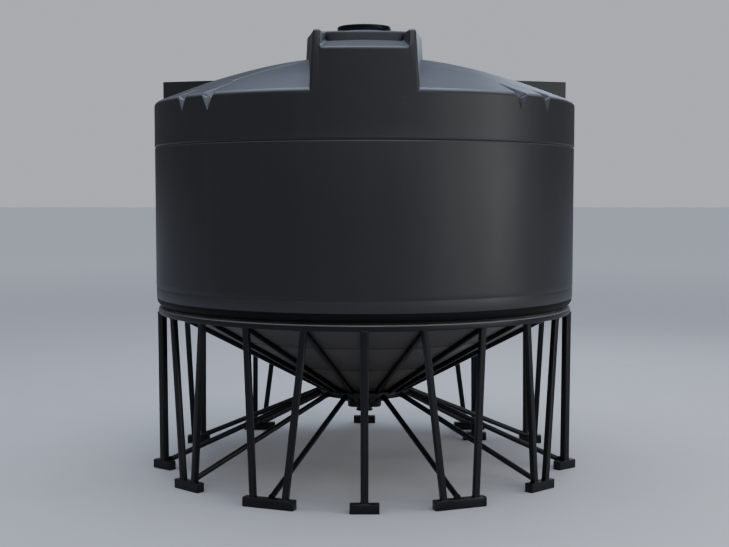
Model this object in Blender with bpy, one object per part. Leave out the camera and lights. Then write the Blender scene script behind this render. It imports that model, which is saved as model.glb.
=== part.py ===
# Cone-bottomed vertical storage tank on a welded steel stand.
#
# Metres, +Z up. The origin is on the floor under the tank's axis. The front, where the
# manway block stands flush with the wall, faces -Y. Angles run from the front, and are
# positive towards +X.
import math

import bmesh
import bpy
from mathutils import Vector

# Fit between neighbouring pieces
GAP = 0.0003

# Tank shell
TANK_RADIUS = 1.220
SHELL = 0.012
SEAM_STEP = 0.004
SEAM_Z = 1.864
WALL_BASE_Z = 1.005
WALL_TOP_Z = 2.040
WALL_SEGMENTS = 6
FACETS_PER_SEGMENT = 16
UPPER_RADIUS = TANK_RADIUS + SEAM_STEP

# Roof: radius and height of the rings between which it slopes, from the wall inwards
ROOF_RINGS = (
    (UPPER_RADIUS, 2.1100),
    (0.920, 2.2230),
    (0.650, 2.3030),
    (0.343, 2.3640),
    (0.260, 2.3715),
)
SHOULDER_RADIUS = 0.045
GROOVES = ((41.7, 0.204), (52.4, 0.124))
GROOVE_TIP_Z = 2.048
GROOVE_SPREAD = 3.0

# Bottom cone
CORNER_RADIUS = 0.047
CONE_SLOPE = 0.53
CONE_END_RADIUS = 0.160
OUTLET_BORE = 0.045

# Manway block and neck
NECK_RADIUS = 0.342
NECK_EDGE_Z = 2.515
NECK_SEAT_Z = 2.5345
NECK_SEAT_RADIUS = 0.176
MANWAY_BORE = 0.135
BLOCK_HALF_WIDTH_BASE = 0.2746
BLOCK_HALF_WIDTH_TOP = 0.252
BLOCK_FRONT_TOP_Z = 2.396
CHEEK_BACK_Z = 2.519
CHEEK = 0.040
LEDGE_FRONT_Z = 2.313
LEDGE_BACK_Z = 2.461
BLOCK_NOTCH_RADIUS = 1.100

# Lid
LID_RADIUS = 0.159
LID_HEIGHT = 0.034
LID_RISE = 0.0045
KNOB_RADIUS = 0.014
KNOB_HEIGHT = 0.024

# Rear lugs
LUG_ANGLE = 107.0
LUG_HALF_WIDTH = 0.250
LUG_TOP_Z = 2.266
LUG_INNER_RADIUS = 0.560

# Outlet under the cone
FLANGE_RADIUS = 0.1385
FLANGE_HEIGHT = 0.040
VALVE_RADIUS = 0.102
VALVE_HEIGHT = 0.034
STUB_RADIUS = 0.050
STUB_HEIGHT = 0.033

# Stand
RING_OUTER = 1.208
RING_INNER = 1.163
RING_HEIGHT = 0.030
RING_FACETS = 96
LEG_TOP_RADIUS = 1.188
FOOT_RADIUS = 1.185
FOOT_HEIGHT = 0.050
FOOT_WIDTH = 0.050
LEG_SINK = 0.012
HUB_OUTER = 0.270
HUB_INNER = 0.235
HUB_BOTTOM_Z = 0.4145
HUB_FACETS = 48
CRADLE_SECTORS = (
    ("cradle_front", -38.3, 38.3),
    ("cradle_right", 38.3, 125.0),
    ("cradle_rear", 125.0, 235.0),
    ("cradle_left", 235.0, 321.7),
)
RIB_WIDTH = 0.025
RIB_DEPTH = 0.025
RIB_CLEARANCE = 0.002
BRACE = 0.030
BRACE_FOOT_Z = 0.034
BRACE_HUB_Z = 0.4280
SINGLE_TUBE = 0.040
PAIR_TUBE = 0.032

# name, foot angle, foot turn, leg top angles, spacing of the leg bottoms, foot length, tube
FRAMES = (
    ("front", 0.0, 0.0, (0.0,), 0.0, 0.150, SINGLE_TUBE),
    ("inner_front", 24.2, 21.0, (14.7, 30.5), 0.182, 0.285, PAIR_TUBE),
    ("outer_front", 53.2, 42.0, (46.1, 61.8), 0.093, 0.190, PAIR_TUBE),
    ("side", 80.0, 38.0, (80.0,), 0.0, 0.135, SINGLE_TUBE),
    ("outer_rear", 115.8, 180.0, (109.2, 119.1), 0.060, 0.140, PAIR_TUBE),
    ("inner_rear", 143.0, 180.0, (141.8, 151.1), 0.060, 0.207, PAIR_TUBE),
    ("back", 180.0, 180.0, (180.0,), 0.0, 0.150, SINGLE_TUBE),
)
# The one inner prop, at the rear on the right
PROP_ANGLE = 130.3
PROP_FOOT_RADIUS = 0.940
PROP_TOP_RADIUS = 0.966
PROP_FOOT_LENGTH = 0.150

BLACK_PLASTIC = ((0.020, 0.020, 0.022), 0.50, 0.0)
LID_PLASTIC = ((0.010, 0.010, 0.011), 0.40, 0.0)
BLACK_STEEL = ((0.008, 0.009, 0.010), 0.42, 0.0)


def polar(radius, angle, z):
    """Point at an angle in degrees from the front."""
    turn = math.radians(angle)
    return Vector((radius * math.sin(turn), -radius * math.cos(turn), z))


def roof_z(radius):
    """Height of the roof's outer face, straight from ring to ring and level past the last."""
    for (far, low), (near, high) in zip(ROOF_RINGS, ROOF_RINGS[1:]):
        if radius >= near:
            return low + (high - low) * (far - radius) / (far - near)
    return ROOF_RINGS[-1][1]


def cone_start():
    """Radius and height at which the rounded corner meets the cone."""
    turn = math.pi / 2 - math.atan(CONE_SLOPE)
    return (TANK_RADIUS - CORNER_RADIUS * (1 - math.cos(turn)),
            WALL_BASE_Z - CORNER_RADIUS * math.sin(turn))


def cone_z(radius):
    start_radius, start_z = cone_start()
    return start_z - CONE_SLOPE * (start_radius - radius)


RING_TOP_Z = cone_z(RING_INNER) - 2 * GAP
RING_BOTTOM_Z = RING_TOP_Z - RING_HEIGHT


def make_material(name, look):
    colour, roughness, metallic = look
    material = bpy.data.materials.new(name)
    material.use_nodes = True
    shader = material.node_tree.nodes["Principled BSDF"]
    shader.inputs["Base Color"].default_value = (*colour, 1.0)
    shader.inputs["Roughness"].default_value = roughness
    shader.inputs["Metallic"].default_value = metallic
    return material


def make_object(name, build, look=None):
    """Adds an object whose mesh is closed, welded and faced outwards."""
    build.normal_update()
    bmesh.ops.remove_doubles(build, verts=build.verts, dist=0.00001)
    loose = [edge for edge in build.edges if not edge.link_faces]
    bmesh.ops.delete(build, geom=loose, context="EDGES")
    bmesh.ops.recalc_face_normals(build, faces=build.faces)
    mesh = bpy.data.meshes.new(name)
    build.to_mesh(mesh)
    build.free()
    thing = bpy.data.objects.new(name, mesh)
    bpy.context.collection.objects.link(thing)
    if look is not None:
        mesh.materials.append(make_material(name, look))
        mesh.shade_smooth()
        mesh.set_sharp_from_angle(angle=math.radians(35.0))
    return thing


def add_turned(build, profile, start, end, facets):
    """Turns a closed profile of radius and height about the tank's axis."""
    whole = abs(end - start - 360.0) < 1e-6
    steps = facets if whole else facets + 1
    rings = []
    for step in range(steps):
        angle = start + (end - start) * step / facets
        rings.append([build.verts.new(polar(radius, angle, z)) for radius, z in profile])
    count = len(profile)
    for step in range(facets):
        here = rings[step]
        there = rings[(step + 1) % steps]
        for index in range(count):
            follow = (index + 1) % count
            build.faces.new((here[index], there[index], there[follow], here[follow]))
    if not whole:
        build.faces.new(rings[0])
        build.faces.new(rings[-1])


def turned(name, profile, start, end, facets, look=None):
    build = bmesh.new()
    add_turned(build, profile, start, end, facets)
    return make_object(name, build, look)


def add_hexahedron(build, corners):
    """Eight corners: four round the bottom, then the four above them."""
    verts = [build.verts.new(corner) for corner in corners]
    for face in ((0, 1, 2, 3), (4, 5, 6, 7), (0, 1, 5, 4), (1, 2, 6, 5), (2, 3, 7, 6), (3, 0, 4, 7)):
        build.faces.new([verts[index] for index in face])


def hexahedron(name, corners, look=None):
    build = bmesh.new()
    add_hexahedron(build, corners)
    return make_object(name, build, look)


def apply_boolean(thing, tool, operation):
    modifier = thing.modifiers.new(operation.title(), "BOOLEAN")
    modifier.operation = operation
    modifier.solver = "EXACT"
    modifier.object = tool
    tool.hide_render = True
    tool.display_type = "WIRE"


def weld(thing):
    modifier = thing.modifiers.new("Weld", "WELD")
    modifier.merge_threshold = 0.00005


def arc(centre_r, centre_z, radius, start, end, steps):
    """Points on a profile arc; 0 degrees points outwards and 90 points up."""
    points = []
    for step in range(steps + 1):
        turn = math.radians(start + (end - start) * step / steps)
        points.append((centre_r + radius * math.cos(turn), centre_z + radius * math.sin(turn)))
    return points


def edge_tilt():
    """The roof's tilt next to the shoulder, in radians."""
    (far, low), (near, high) = ROOF_RINGS[:2]
    return math.atan((high - low) / (far - near))


def roof_line():
    """The roof's outer profile, up the shoulder's rounding and in to the manway hole."""
    tilt = edge_tilt()
    tangent = SHOULDER_RADIUS * math.tan((math.pi / 2 - tilt) / 2)
    rounding = arc(UPPER_RADIUS - SHOULDER_RADIUS, ROOF_RINGS[0][1] - tangent, SHOULDER_RADIUS,
                   0.0, 90.0 - math.degrees(tilt), 4)
    return rounding + list(ROOF_RINGS[1:])


def build_walls():
    inner = TANK_RADIUS - SHELL
    profile = (
        (inner, WALL_BASE_Z + GAP),
        (TANK_RADIUS, WALL_BASE_Z + GAP),
        (TANK_RADIUS, SEAM_Z - SEAM_STEP),
        (UPPER_RADIUS, SEAM_Z + SEAM_STEP),
        (UPPER_RADIUS, WALL_TOP_Z),
        (inner, WALL_TOP_Z),
    )
    span = 360.0 / WALL_SEGMENTS
    trim = math.degrees(GAP / 2 / TANK_RADIUS)
    for index in range(WALL_SEGMENTS):
        start = (index - 0.5) * span
        turned(f"tank_wall_{index + 1}", profile, start + trim, start + span - trim,
               FACETS_PER_SEGMENT, BLACK_PLASTIC)


def build_roof():
    inner = TANK_RADIUS - SHELL
    rise = SHELL / math.cos(edge_tilt())
    outer = [(UPPER_RADIUS, WALL_TOP_Z + GAP)] + roof_line()
    under = [(radius, z - rise) for radius, z in reversed(ROOF_RINGS[1:])]
    under += [(inner - 0.060, roof_z(inner - 0.060) - rise),
              (inner, WALL_TOP_Z + 0.020),
              (inner, WALL_TOP_Z + GAP)]
    roof = turned("tank_roof", outer + under, 0.0, 360.0, 96, BLACK_PLASTIC)
    half = BLOCK_HALF_WIDTH_BASE + GAP
    notch = hexahedron("notch_cutter", box_corners(-half, half, -1.4, -0.9, 1.9, 2.4))
    core = [(0.0, 1.8), (BLOCK_NOTCH_RADIUS, 1.8), (BLOCK_NOTCH_RADIUS, 2.5), (0.0, 2.5)]
    apply_boolean(notch, turned("notch_core", core, 0.0, 360.0, 96), "DIFFERENCE")
    apply_boolean(roof, notch, "DIFFERENCE")
    for side in (-1, 1):
        for index, (angle, length) in enumerate(GROOVES):
            cutter = groove_cutter(f"groove_cutter_{index}_{side}", side * angle, length)
            apply_boolean(roof, cutter, "DIFFERENCE")
    weld(roof)


def box_corners(x0, x1, y0, y1, z0, z1):
    return [(x0, y0, z0), (x1, y0, z0), (x1, y1, z0), (x0, y1, z0),
            (x0, y0, z1), (x1, y0, z1), (x1, y1, z1), (x0, y1, z1)]


def groove_cutter(name, angle, length):
    """A V that starts on the wall, turns over the shoulder and runs out up the roof."""
    outward = polar(1.0, angle, 0.0)
    across = polar(1.0, angle + 90.0, 0.0)
    tilt = math.degrees(edge_tilt())
    tail_radius = UPPER_RADIUS - length
    stations = (
        (UPPER_RADIUS, GROOVE_TIP_Z, 0.0),
        (UPPER_RADIUS - 0.020, ROOF_RINGS[0][1] - 0.0091, 45.0),
        (UPPER_RADIUS - 0.060, roof_z(UPPER_RADIUS - 0.060) - 0.009, 90.0 - tilt),
        (tail_radius, roof_z(tail_radius) + 0.0005, 90.0 - tilt),
    )
    reach = 0.040
    build = bmesh.new()
    rows = []
    for radius, z, lean in stations:
        turn = math.radians(lean)
        normal = outward * math.cos(turn) + Vector((0, 0, math.sin(turn)))
        point = outward * radius + Vector((0, 0, z))
        side = across * (reach * GROOVE_SPREAD)
        rows.append([build.verts.new(place) for place in
                     (point, point + normal * reach + side, point + normal * reach - side)])
    for here, there in zip(rows, rows[1:]):
        for index in range(3):
            follow = (index + 1) % 3
            build.faces.new((here[index], here[follow], there[follow]))
            build.faces.new((here[index], there[follow], there[index]))
    build.faces.new(rows[0])
    build.faces.new(rows[-1])
    return make_object(name, build)


def build_bottom():
    start_radius, start_z = cone_start()
    normal_turn = math.degrees(math.pi / 2 - math.atan(CONE_SLOPE))
    corner = arc(TANK_RADIUS - CORNER_RADIUS, WALL_BASE_Z, CORNER_RADIUS, 0.0, -normal_turn, 5)
    rise = SHELL * math.sqrt(1 + CONE_SLOPE ** 2)
    end_z = cone_z(CONE_END_RADIUS)
    inner = TANK_RADIUS - SHELL
    profile = corner + [
        (CONE_END_RADIUS, end_z),
        (OUTLET_BORE, end_z),
        (OUTLET_BORE, end_z + rise),
        (CONE_END_RADIUS, end_z + rise),
        (inner - 0.025, cone_z(inner - 0.025) + rise),
        (inner, WALL_BASE_Z),
    ]
    turned("tank_bottom_cone", profile, 0.0, 360.0, 96, BLACK_PLASTIC)


def build_manway_block():
    """Neck and front block in one moulding, with the manway bored through the neck."""
    base_z = 2.0
    neck_profile = [(0.0, base_z), (NECK_RADIUS, base_z), (NECK_RADIUS, NECK_EDGE_Z - 0.02),
                    (NECK_RADIUS - 0.02, NECK_EDGE_Z), (NECK_SEAT_RADIUS, NECK_SEAT_Z),
                    (0.0, NECK_SEAT_Z)]
    block = turned("manway_block", neck_profile, 0.0, 360.0, 64, BLACK_PLASTIC)

    low = BLOCK_HALF_WIDTH_BASE
    high = BLOCK_HALF_WIDTH_TOP
    front = -1.40
    slope = (CHEEK_BACK_Z - BLOCK_FRONT_TOP_Z) / (TANK_RADIUS - NECK_RADIUS)
    front_top = BLOCK_FRONT_TOP_Z - slope * (-front - TANK_RADIUS)
    back_top = CHEEK_BACK_Z
    back = -0.25
    body = [(-low, front, base_z), (low, front, base_z), (low, back, base_z), (-low, back, base_z),
            (-high, front, front_top), (high, front, front_top),
            (high, back, back_top), (-high, back, back_top)]
    apply_boolean(block, hexahedron("block_body", body), "UNION")

    ledge_slope = (LEDGE_BACK_Z - LEDGE_FRONT_Z) / (TANK_RADIUS - NECK_RADIUS)
    inner = high - CHEEK
    recess_front = -1.45
    floor_front = LEDGE_FRONT_Z - ledge_slope * (-recess_front - TANK_RADIUS)
    recess = box_corners(-inner, inner, recess_front, -NECK_RADIUS, floor_front, 2.7)
    recess[2] = (inner, -NECK_RADIUS, LEDGE_BACK_Z)
    recess[3] = (-inner, -NECK_RADIUS, LEDGE_BACK_Z)
    recess_tool = hexahedron("recess_cutter", recess)
    column = [(0.0, 1.5), (NECK_RADIUS, 1.5), (NECK_RADIUS, 2.9), (0.0, 2.9)]
    apply_boolean(recess_tool, turned("recess_column", column, 0.0, 360.0, 64), "DIFFERENCE")
    apply_boolean(block, recess_tool, "DIFFERENCE")

    edge = BLOCK_NOTCH_RADIUS + GAP
    envelope = [(0.0, 1.9), (edge, 1.9), (edge, roof_z(edge) + GAP)]
    envelope += [(radius, z + GAP) for radius, z in ROOF_RINGS[1:]] + [(0.0, roof_z(0.0) + GAP)]
    apply_boolean(block, turned("roof_envelope", envelope, 0.0, 360.0, 96), "DIFFERENCE")
    sill = box_corners(-0.6, 0.6, -1.6, 0.6, 1.8, WALL_TOP_Z + GAP)
    apply_boolean(block, hexahedron("sill_cutter", sill), "DIFFERENCE")
    limit = [(0.0, 1.7), (UPPER_RADIUS, 1.7), (UPPER_RADIUS, 2.8), (0.0, 2.8)]
    apply_boolean(block, turned("wall_limit", limit, 0.0, 360.0, 192), "INTERSECT")
    bore = [(0.0, 1.8), (MANWAY_BORE, 1.8), (MANWAY_BORE, 2.9), (0.0, 2.9)]
    apply_boolean(block, turned("manway_bore", bore, 0.0, 360.0, 48), "DIFFERENCE")
    weld(block)


def build_lid():
    base = NECK_SEAT_Z + LID_RISE
    top = base + LID_HEIGHT
    profile = [(0.0, base), (LID_RADIUS, base), (LID_RADIUS, top - 0.008), (LID_RADIUS - 0.012, top),
               (KNOB_RADIUS, top + 0.004), (KNOB_RADIUS, top + KNOB_HEIGHT), (0.0, top + KNOB_HEIGHT)]
    turned("manway_lid", profile, 0.0, 360.0, 64, LID_PLASTIC)


def build_lugs():
    """The two plain rear lugs, radial boxes that run out into the roof slope."""
    for side, name in ((-1, "rear_lug_left"), (1, "rear_lug_right")):
        outward = polar(1.0, side * LUG_ANGLE, 0.0)
        across = polar(1.0, side * LUG_ANGLE + 90.0, 0.0)
        corners = []
        for z in (2.0, LUG_TOP_Z):
            for radius, offset in ((LUG_INNER_RADIUS, -1), (1.4, -1), (1.4, 1), (LUG_INNER_RADIUS, 1)):
                point = outward * radius + across * (offset * LUG_HALF_WIDTH)
                corners.append((point.x, point.y, z))
        lug = hexahedron(name, corners, BLACK_PLASTIC)
        profile = [(0.0, 1.9), (UPPER_RADIUS + GAP, 1.9)]
        profile += [(radius + GAP, z + GAP) for radius, z in roof_line()]
        profile += [(0.0, roof_z(0.0) + GAP)]
        apply_boolean(lug, turned(f"{name}_envelope", profile, 0.0, 360.0, 96), "DIFFERENCE")
        limit = [(0.0, 1.7), (UPPER_RADIUS - 0.014, 1.7), (UPPER_RADIUS - 0.014, 2.8), (0.0, 2.8)]
        apply_boolean(lug, turned(f"{name}_limit", limit, 0.0, 360.0, 192), "INTERSECT")
        weld(lug)


def build_outlet():
    top = cone_z(CONE_END_RADIUS) - GAP
    low = top - FLANGE_HEIGHT
    flange = [(OUTLET_BORE, low), (FLANGE_RADIUS, low), (FLANGE_RADIUS, top), (OUTLET_BORE, top)]
    turned("outlet_flange", flange, 0.0, 360.0, 48, BLACK_PLASTIC)
    high = low - GAP
    base = high - VALVE_HEIGHT
    end = base - STUB_HEIGHT
    valve = [(OUTLET_BORE - 0.01, end), (STUB_RADIUS, end), (STUB_RADIUS, base), (VALVE_RADIUS, base),
             (VALVE_RADIUS, high), (OUTLET_BORE - 0.01, high)]
    turned("outlet_valve", valve, 0.0, 360.0, 48, BLACK_PLASTIC)


def build_ring():
    profile = [(RING_INNER, RING_BOTTOM_Z), (RING_OUTER - 0.004, RING_BOTTOM_Z),
               (RING_OUTER, RING_BOTTOM_Z + 0.004), (RING_OUTER, RING_TOP_Z - 0.004),
               (RING_OUTER - 0.004, RING_TOP_Z), (RING_INNER, RING_TOP_Z)]
    turned("stand_ring", profile, 0.0, 360.0, RING_FACETS, BLACK_STEEL)


def tube_corners(centre, size, turn):
    """A square section at a centre point, turned about the vertical."""
    normal = polar(size / 2, turn, 0.0)
    along = polar(size / 2, turn + 90.0, 0.0)
    return [centre + normal - along, centre + normal + along,
            centre - normal + along, centre - normal - along]


def build_frame(name, side, foot_angle, turn, tops, spacing, length, tube):
    """A foot with the one or two legs that stand on it."""
    foot_centre = polar(FOOT_RADIUS, side * foot_angle, 0.0)
    normal = polar(FOOT_WIDTH / 2, side * turn, 0.0)
    along = polar(1.0, side * turn + 90.0, 0.0)
    half = along * (length / 2)
    base = [foot_centre + normal - half, foot_centre + normal + half,
            foot_centre - normal + half, foot_centre - normal - half]
    lift = Vector((0, 0, FOOT_HEIGHT))
    frame = hexahedron(name, base + [corner + lift for corner in base], BLACK_STEEL)
    for index, top_angle in enumerate(tops):
        top = polar(LEG_TOP_RADIUS, side * top_angle, RING_BOTTOM_Z - GAP)
        reach = 0.0
        if len(tops) == 2:
            other = polar(LEG_TOP_RADIUS, side * tops[1 - index], 0.0)
            reach = math.copysign(spacing / 2, (top - other).dot(along))
        bottom = foot_centre + along * reach + Vector((0, 0, FOOT_HEIGHT - LEG_SINK))
        corners = tube_corners(bottom, tube, side * turn) + tube_corners(top, tube, side * turn)
        apply_boolean(frame, hexahedron(f"{name}_leg_{index}", corners), "UNION")


def plane_hit(point, direction, plane_point, plane_normal):
    distance = (plane_point - point).dot(plane_normal) / direction.dot(plane_normal)
    return point + direction * distance


def build_brace(name, side, foot_angle, turn):
    """A square bar from the inner face of a foot to the hub ring."""
    hub_point = polar(HUB_OUTER + GAP, side * foot_angle, BRACE_HUB_Z)
    hub_normal = polar(1.0, side * foot_angle, 0.0)
    foot_centre = polar(FOOT_RADIUS, side * foot_angle, BRACE_FOOT_Z)
    face_normal = polar(1.0, side * turn, 0.0)
    if face_normal.dot(hub_normal) < 0:
        face_normal = -face_normal
    face_point = foot_centre - face_normal * (FOOT_WIDTH / 2 + GAP)
    axis = (foot_centre - hub_point).normalized()
    across = axis.cross(Vector((0, 0, 1))).normalized() * (BRACE / 2)
    upward = across.cross(axis).normalized() * (BRACE / 2)
    section = (-across - upward, across - upward, across + upward, -across + upward)
    start = [plane_hit(hub_point + offset, axis, hub_point, hub_normal) for offset in section]
    end = [plane_hit(hub_point + offset, axis, face_point, face_normal) for offset in section]
    hexahedron(name, start + end, BLACK_STEEL)


def rib_corners(angle):
    """A rib just under the cone, from inside the hub ring's section out to the stand ring."""
    across = polar(RIB_WIDTH / 2, angle + 90.0, 0.0)
    corners = []
    ring_face = RING_INNER * math.cos(math.pi / RING_FACETS) - 2 * GAP
    for radius in (HUB_OUTER - 0.015, ring_face):
        high = cone_z(radius) - RIB_CLEARANCE
        centre = polar(radius, angle, 0.0)
        low = high - RIB_DEPTH
        for offset, z in ((-across, low), (across, low), (across, high), (-across, high)):
            corners.append(centre + offset + Vector((0, 0, z)))
    return corners


def build_cradle():
    """Four sectors of the hub ring, each with the ribs that rise from it."""
    angles = [PROP_ANGLE]
    for _, _, _, tops, _, _, _ in FRAMES:
        for top in tops:
            angles.append(top)
            if 0.0 < top < 180.0:
                angles.append(-top)
    hub_top = cone_z(HUB_INNER) - RIB_CLEARANCE
    profile = [(HUB_INNER, HUB_BOTTOM_Z), (HUB_OUTER, HUB_BOTTOM_Z), (HUB_OUTER, hub_top), (HUB_INNER, hub_top)]
    trim = math.degrees(GAP / 2 / HUB_INNER)
    for name, start, end in CRADLE_SECTORS:
        facets = round((end - start) / 360.0 * HUB_FACETS)
        sector = turned(name, profile, start + trim, end - trim, facets, BLACK_STEEL)
        for index, angle in enumerate(angles):
            if start < angle < end or start < angle + 360.0 < end:
                rib = hexahedron(f"{name}_rib_{index}", rib_corners(angle))
                apply_boolean(sector, rib, "UNION")


def build_prop():
    """The inner prop, from its own foot to the rib above it."""
    foot_centre = polar(PROP_FOOT_RADIUS, PROP_ANGLE, 0.0)
    half = Vector((PROP_FOOT_LENGTH / 2, FOOT_WIDTH / 2, 0.0))
    low = foot_centre - half
    high = foot_centre + half
    prop = hexahedron("leg_prop", box_corners(low.x, high.x, low.y, high.y, 0.0, FOOT_HEIGHT), BLACK_STEEL)
    rib_low = cone_z(PROP_TOP_RADIUS) - RIB_CLEARANCE - RIB_DEPTH
    bottom = foot_centre + Vector((0, 0, FOOT_HEIGHT - LEG_SINK))
    top = polar(PROP_TOP_RADIUS, PROP_ANGLE, rib_low)
    corners = tube_corners(bottom, PAIR_TUBE, PROP_ANGLE)
    for corner in tube_corners(top, PAIR_TUBE, PROP_ANGLE):
        radius = corner.dot(polar(1.0, PROP_ANGLE, 0.0))
        corner.z = cone_z(radius) - RIB_CLEARANCE - RIB_DEPTH - GAP
        corners.append(corner)
    apply_boolean(prop, hexahedron("leg_prop_tube", corners), "UNION")


def build_stand():
    build_ring()
    build_prop()
    for label, foot_angle, turn, tops, spacing, length, tube in FRAMES:
        sides = ((1, ""),) if foot_angle in (0.0, 180.0) else ((-1, "_left"), (1, "_right"))
        for side, side_name in sides:
            suffix = label + side_name
            build_frame(f"leg_frame_{suffix}", side, foot_angle, turn, tops, spacing, length, tube)
            build_brace(f"brace_{suffix}", side, foot_angle, turn)
    build_cradle()


def main():
    for thing in list(bpy.data.objects):
        bpy.data.objects.remove(thing)
    build_walls()
    build_roof()
    build_bottom()
    build_manway_block()
    build_lid()
    build_lugs()
    build_outlet()
    build_stand()


main()
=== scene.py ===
"""Black cone-bottomed storage tank on its welded stand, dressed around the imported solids.

Metres, +Z up, origin on the floor under the tank's axis, front towards -Y. Angles run from the
front in degrees and are positive towards +X.
"""
import logging
import math
from dataclasses import dataclass
from enum import Enum

import bmesh
import bpy
import numpy as np
from mathutils import Matrix, Vector


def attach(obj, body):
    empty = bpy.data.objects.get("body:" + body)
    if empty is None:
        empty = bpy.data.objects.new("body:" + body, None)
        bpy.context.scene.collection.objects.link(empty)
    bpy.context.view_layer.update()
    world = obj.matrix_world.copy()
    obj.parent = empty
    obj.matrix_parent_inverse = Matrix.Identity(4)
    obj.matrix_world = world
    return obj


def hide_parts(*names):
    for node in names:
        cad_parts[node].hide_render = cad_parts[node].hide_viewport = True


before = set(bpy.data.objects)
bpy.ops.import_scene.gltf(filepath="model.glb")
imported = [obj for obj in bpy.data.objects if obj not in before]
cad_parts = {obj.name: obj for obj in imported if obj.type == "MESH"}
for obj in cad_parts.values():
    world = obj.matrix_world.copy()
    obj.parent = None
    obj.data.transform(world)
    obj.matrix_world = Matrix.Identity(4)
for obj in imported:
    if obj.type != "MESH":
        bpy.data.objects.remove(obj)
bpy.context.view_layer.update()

LOG = logging.getLogger("tank")
Array = np.ndarray

# Points nearer than this are one point.
MERGE = 0.00002
# Faces that would coincide stay this far apart.
GAP = 0.0003
# How deep the lugs and the block dip under the roof's face.
DIP = 0.006
# Radii of the joint lines that run round the cone.
CONE_JOINTS = (0.558, 0.858)
# A joint line in section: offsets from its radius, each with how far the skin sinks there.
JOINT_SECTION = ((-0.007, 0.0), (-0.003, 0.0035), (0.003, 0.0035), (0.007, 0.0))
# The block's stations, as shares of the way from its front back to the neck.
STATIONS = np.array([0.0, 0.07, 0.18, 0.3, 0.45, 0.6, 0.8, 1.0])[:, None]


# Points and curves

def polar(radius: Array | float, angle: Array | float, height: Array | float) -> Array:
    """Points at a radius, an angle from the front and a height: x = r sin a, y = -r cos a.

    Args:
        radius: Distance from the axis.
        angle: Degrees from the front.
        height: Height above the floor.

    Returns:
        An array whose last axis holds x, y and z.
    """
    turn = np.radians(angle)
    place = np.broadcast_arrays(radius * np.sin(turn), -radius * np.cos(turn), height)
    return np.stack(place, -1).astype(float)


def unit(vector: Array) -> Array:
    """The vector, or each of a row of vectors, divided by its own length."""
    return vector / np.linalg.norm(vector, axis=-1, keepdims=True)


def soften(points: Array, reach: Array | float, steps: int, closed: bool) -> Array:
    """Rounds a polyline's corners.

    Each corner P gives way to the quadratic curve (1-t)^2 A + 2t(1-t) P + t^2 B, where A and B lie
    on the two edges at P, at the corner's reach from it or at 0.45 of the edge if that is nearer.

    Args:
        points: The corners, one per row.
        reach: How far from each corner its rounding starts.
        steps: Segments per corner.
        closed: Whether the line runs on from its last corner to its first.

    Returns:
        The rounded line's points.
    """
    before = np.roll(points, 1, axis=0) - points
    after = np.roll(points, -1, axis=0) - points
    reach = np.broadcast_to(np.asarray(reach, float), len(points)).copy()
    if not closed:
        reach[[0, -1]] = 0.0
    near = np.minimum(reach, 0.45 * np.linalg.norm(before, axis=1))[:, None]
    far = np.minimum(reach, 0.45 * np.linalg.norm(after, axis=1))[:, None]
    start = (points + unit(before) * near)[:, None]
    end = (points + unit(after) * far)[:, None]
    t = np.linspace(0.0, 1.0, steps + 1)[None, :, None]
    curve = (1 - t) ** 2 * start + 2 * t * (1 - t) * points[:, None] + t ** 2 * end
    if closed:
        return curve.reshape(-1, points.shape[1])
    return np.vstack([points[:1], curve[1:-1].reshape(-1, points.shape[1]), points[-1:]])


def rounded_box(width: float, height: float, reach: float, steps: int = 3) -> Array:
    """A rectangle about the origin with its corners rounded, as a closed line of 2-D points."""
    corners = np.array([(-1, -1), (1, -1), (1, 1), (-1, 1)]) * (width / 2, height / 2)
    return soften(corners, reach, steps, True)


def circle(radius: float, count: int) -> Array:
    """A closed line of 2-D points on a circle: (r cos a, r sin a)."""
    turn = np.linspace(0.0, 2 * np.pi, count, endpoint=False)
    return np.stack([radius * np.cos(turn), radius * np.sin(turn)], -1)


def lathe(profile: Array, angles: Array) -> Array:
    """A profile of (radius, height) turned through the angles, as a grid of points."""
    return polar(profile[:, :1], angles[None, :], profile[:, 1:])


def full_turn(count: int) -> Array:
    """Angles in degrees that part a whole turn evenly."""
    return np.linspace(0.0, 360.0, count, endpoint=False)


def squared(points: Array, angles: Array, power: Array | float, share: Array) -> Array:
    """Widens a lathed grid in plan, from a circle of radius R towards a rounded square.

    The rounded square is r = R (|cos a|^n + |sin a|^n)^(-1/n).

    Args:
        points: The grid, one row per profile point and one column per angle.
        angles: The columns' angles in degrees.
        power: The power n, one for all columns or one for each; 2 is a circle.
        share: For each row, how much of the way from the circle it goes.

    Returns:
        The widened grid.
    """
    turn = np.radians(angles)
    grow = (np.abs(np.cos(turn)) ** power + np.abs(np.sin(turn)) ** power) ** (-1.0 / power) - 1.0
    wide = points.copy()
    wide[..., :2] *= (1.0 + grow[None, :] * share)[..., None]
    return wide


def new_object(name: str, data: bpy.types.ID) -> bpy.types.Object:
    """An object around its data, linked to the scene."""
    thing = bpy.data.objects.new(name, data)
    bpy.context.scene.collection.objects.link(thing)
    return thing


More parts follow.
